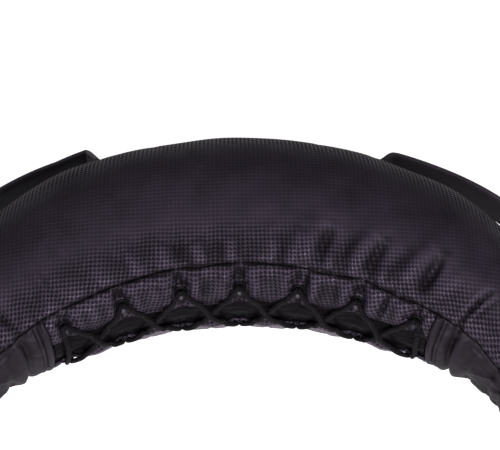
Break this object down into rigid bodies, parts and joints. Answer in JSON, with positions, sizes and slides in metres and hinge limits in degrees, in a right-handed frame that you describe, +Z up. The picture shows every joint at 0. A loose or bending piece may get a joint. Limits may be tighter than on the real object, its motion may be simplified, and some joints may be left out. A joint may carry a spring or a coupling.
{
  "type": "bulgarian bag",
  "caption": "Stuffed leather crescent training bag with a laced inner side, a grip on each horn and a strap handle on each outer shoulder.",
  "frame": {"origin": "under the middle of the bounding box, on the surface that the bag lies on", "axes": "+X across the crescent, from horn to horn; +Y from the horns' open side to the crescent's back; +Z up, out of the bag's front"},
  "size_m": [0.6218, 0.4394, 0.1575],
  "materials": {
    "carbon_leather": "embossed with a fine square weave, satin",
    "smooth_leather": "smooth grain, satin",
    "facing_leather": "smooth, satin",
    "strap_leather": "smooth grain with stitched edges, satin",
    "braided_cord": "fine braid, matt",
    "eyelet_metal": "dark nickel plate",
    "filling": "plain cloth",
    "grip_core": "plain"
  },
  "bodies": {
    "bag": {"main_panel": "carbon_leather", "front_flap": "carbon_leather", "back_flap": "carbon_leather", "front_facing": "facing_leather", "back_facing": "facing_leather", "left_gusset": "smooth_leather", "right_gusset": "smooth_leather", "front_eyelet_1": "eyelet_metal", "front_eyelet_2": "eyelet_metal", "front_eyelet_3": "eyelet_metal", "front_eyelet_4": "eyelet_metal", "front_eyelet_5": "eyelet_metal", "front_eyelet_6": "eyelet_metal", "front_eyelet_7": "eyelet_metal", "back_eyelet_1": "eyelet_metal", "back_eyelet_2": "eyelet_metal", "back_eyelet_3": "eyelet_metal", "back_eyelet_4": "eyelet_metal", "back_eyelet_5": "eyelet_metal", "back_eyelet_6": "eyelet_metal", "back_eyelet_7": "eyelet_metal", "lace": "braided_cord", "lace_knot": "braided_cord", "left_horn_filler": "filling", "left_filler": "filling", "middle_filler": "filling", "right_filler": "filling", "right_horn_filler": "filling", "left_neck_binding": "smooth_leather", "left_horn_closure": "smooth_leather", "left_strap_inner_end": "strap_leather", "left_strap_outer_end": "strap_leather", "left_inner_patch": "smooth_leather", "left_outer_patch": "smooth_leather", "right_neck_binding": "smooth_leather", "right_horn_closure": "smooth_leather", "right_strap_inner_end": "strap_leather", "right_strap_outer_end": "strap_leather", "right_inner_patch": "smooth_leather", "right_outer_patch": "smooth_leather"},
    "left_handle": {"left_collar": "smooth_leather", "left_grip_sleeve": "carbon_leather", "left_grip_core": "grip_core", "left_end_cap": "smooth_leather"},
    "left_strap": {"left_strap": "strap_leather"},
    "right_handle": {"right_collar": "smooth_leather", "right_grip_sleeve": "carbon_leather", "right_grip_core": "grip_core", "right_end_cap": "smooth_leather"},
    "right_strap": {"right_strap": "strap_leather"}
  },
  "joints": [
    {"name": "left_handle_flex", "type": "hinge", "parent": "bag", "child": "left_handle", "pos_m": [-0.26061, -0.05029, 0.03699], "axis": [0, 0, 1], "range_deg": [-15, 25], "stiffness_Nm_per_rad": 12},
    {"name": "left_strap_swing", "type": "hinge", "parent": "bag", "child": "left_strap", "pos_m": [-0.14122, 0.20631, 0.07216], "axis": [0.6936, 0.7107, 0.1174], "range_deg": [-30, 30], "stiffness_Nm_per_rad": 0.15, "springref_deg": 2.86},
    {"name": "right_handle_flex", "type": "hinge", "parent": "bag", "child": "right_handle", "pos_m": [0.26061, -0.05029, 0.03699], "axis": [0, 0, -1], "range_deg": [-15, 25], "stiffness_Nm_per_rad": 12},
    {"name": "right_strap_swing", "type": "hinge", "parent": "bag", "child": "right_strap", "pos_m": [0.14122, 0.20631, 0.07216], "axis": [0.6936, -0.7107, -0.1174], "range_deg": [-30, 30], "stiffness_Nm_per_rad": 0.15, "springref_deg": 2.86}
  ]
}
